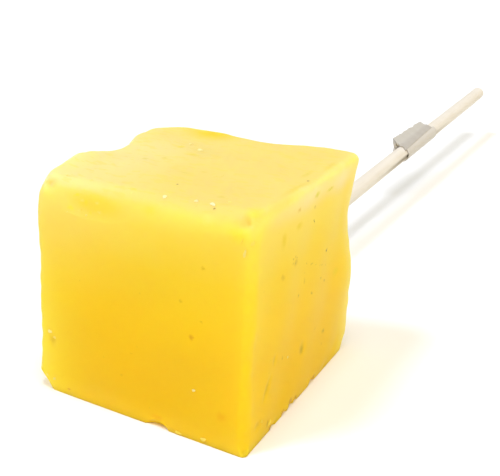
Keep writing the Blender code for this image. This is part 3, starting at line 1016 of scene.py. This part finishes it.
# Sleeve: the outlines carried along the stick, crumpled by lumps, and turned in at both ends to a round bore,
# which each outline point reaches on its own line to the axis. From the ridge to the paper's edge it is a
# flap that lies higher by the overlap and has ends of its own. Lumps shift the torn ends too.
def makeBand(shape, material):
    bore = stickShape["radius"] + shape["clearance"]
    rows = shape["rows"]
    along = np.linspace(0.0, 1.0, rows)
    ridgeTurn = math.radians(shape["ridgeAngle"])
    reach = np.interp(along, (0.0, 1.0), shape["ridgeReach"])
    outline = bandOutlines(bore + shape["paper"], reach, ridgeTurn, shape["flank"], shape["columns"])
    away = lengthOf(outline)
    slack = ease((away[..., 0] - bore - shape["paper"]) / (shape["slackBlend"] * bore))
    turn = np.mod(np.arctan2(outline[..., 1], outline[..., 0]) - ridgeTurn + 0.01, 2 * math.pi) - 0.01
    edgeTurn = np.radians(np.interp(along, (0.0, 1.0), shape["paperEdge"]))[:, None] - ridgeTurn
    flap = ease((edgeTurn - turn) / math.radians(shape["flapBlend"]))
    outer = outline * (1.0 + shape["overlap"] * (flap * (1.0 - slack))[..., None] / away)

    nearRidge, nearEdge, flapFar = shape["flapEnds"]
    wrapNear, wrapFar = shape["wrapEnds"]
    flapNear = nearRidge + (nearEdge - nearRidge) * np.clip(turn / edgeTurn, 0.0, 1.0)
    sideNear = wrapNear + (nearRidge - wrapNear) * slack
    sideFar = wrapFar + (flapFar - wrapFar) * slack
    near = sideNear + (flapNear - sideNear) * flap
    far = sideFar + (flapFar - sideFar) * flap
    ragged = np.abs(unevenness(np.concatenate([outline, 0.0 * away], axis=-1), shape["tear"]))
    tear = ragged * (2.0 * along[:, None] - 1.0) ** 5   # shortens both ends
    distance = near + (far - near) * along[:, None] - tear

    own = np.concatenate([outline, distance[..., None]], axis=-1)
    crumple = np.abs(unevenness(own, shape["crumple"])) * (shape["tightCrumple"] + slack)
    outer = outer * (1.0 - crumple[..., None] / away)
    ring = np.concatenate([outer, (outline / away * bore)[::-1]])
    distance = np.concatenate([distance, distance[::-1]])
    across, up = sideways(stickAlong)
    grid = ring[..., :1] * across + ring[..., 1:] * up + distance[..., None] * stickAlong + stickExit
    faces = ringFaces(2 * rows + 1, shape["columns"]) % (2 * rows * shape["columns"])
    band = putMesh("paper_sleeve", grid.reshape(-1, 3), [faces], material, "paper_band")
    storeValues(band, "shadedFlapShare", np.concatenate([flap, 0.0 * flap]).ravel())
    storeValues(band, "ridgeShare", np.concatenate([slack, slack[::-1]]).ravel())
    return band


paperColours = {
    "wrap": (0.66, 0.615, 0.555),
    # painted shade: the flap, turned away from the light, is the same paper painted darker than the wrap,
    # less dark out at the ridge
    "flap": (0.46, 0.422, 0.372),
    "ridge": (0.54, 0.506, 0.445),
    "worn": (0.60, 0.568, 0.51),
    # size, detail and contrast of each noise
    "fibres": (0.0003, 5.0, 1.2),
    "patches": (0.0030, 2.0, 1.8),
    "bump": (0.00002, 0.6),             # height of the fibres, and how much of it shows
    "roughness": 0.75,
    "specular": 0.2,
}


def makePaperMaterial(colours):
    material, tree, shader = newMaterial("grey_paper")
    place = addNode(tree, "TexCoord").outputs["Object"]
    fibres = cloudMask(tree, place, *colours["fibres"])
    faded = calc(tree, "MULTIPLY", cloudMask(tree, place, *colours["patches"]), 0.35)
    # painted shade: the flap is darker than the wrap, less so towards the ridge
    raised = mixColours(tree, readShare(tree, "ridgeShare"), colours["flap"], colours["ridge"])
    colour = mixColours(tree, readShare(tree, "shadedFlapShare"), colours["wrap"], raised)
    fillShader(tree, shader, {
        "Base Color": mixColours(tree, faded, colour, colours["worn"]),
        "Normal": grainNormal(tree, fibres, *colours["bump"]),
        "Roughness": colours["roughness"],
        "Specular IOR Level": colours["specular"],
    })
    return material


makeBand(bandShape, makePaperMaterial(paperColours))
print("paper band made")


studio = {
    "floorSize": 60.0,
    "floorColour": (0.95, 0.95, 0.95),
    "floorDrop": 0.00003,       # keeps the floor just clear of the candy's flat underside
    "skyColour": (1.0, 0.84, 0.37),
    "skyStrength": 0.494,
    # travel direction, strength, colour and spread in degrees of each lamp
    "lamps": {
        "side_lamp": ((0.39, 0.36, -1.0), 1.37, (0.507, 0.65, 1.0), 13.0),
        "top_lamp": ((-0.10, 0.06, -1.0), 1.91, (0.793, 0.833, 1.0), 26.0),
        "fill_lamp": ((-0.76, 0.60, -0.25), 0.64, (1.0, 1.0, 1.0), 20.0),
    },
}


def makeStudio(light):
    material, tree, shader = newMaterial("floor")
    surface = {"Base Color": light["floorColour"], "Roughness": 0.9, "Specular IOR Level": 0.0}
    fillShader(tree, shader, surface)
    half = light["floorSize"] / 2
    mesh = bpy.data.meshes.new("floor")
    corners = [(-half, -half, 0.0), (half, -half, 0.0), (half, half, 0.0), (-half, half, 0.0)]
    mesh.from_pydata(corners, [], [(0, 1, 2, 3)])
    mesh.materials.append(material)
    floor = bpy.data.objects.new("floor", mesh)
    floor.location.z = -light["floorDrop"]
    bpy.context.scene.collection.objects.link(floor)

    world = bpy.data.worlds.new("studio")
    world.use_nodes = True
    background = world.node_tree.nodes["Background"]
    fill(world.node_tree, background.inputs["Color"], light["skyColour"])
    fill(world.node_tree, background.inputs["Strength"], light["skyStrength"])
    bpy.context.scene.world = world

    for name, (travel, strength, colour, spread) in light["lamps"].items():
        data = bpy.data.lights.new(name, "SUN")
        data.energy = strength
        data.color = colour
        data.angle = math.radians(spread)
        lamp = bpy.data.objects.new(name, data)
        lamp.rotation_mode = "QUATERNION"
        lamp.rotation_quaternion = Vector(travel).to_track_quat("-Z", "Y")
        bpy.context.scene.collection.objects.link(lamp)
    bpy.context.scene.view_settings.view_transform = "Standard"


makeStudio(studio)
print("floor and light placed")
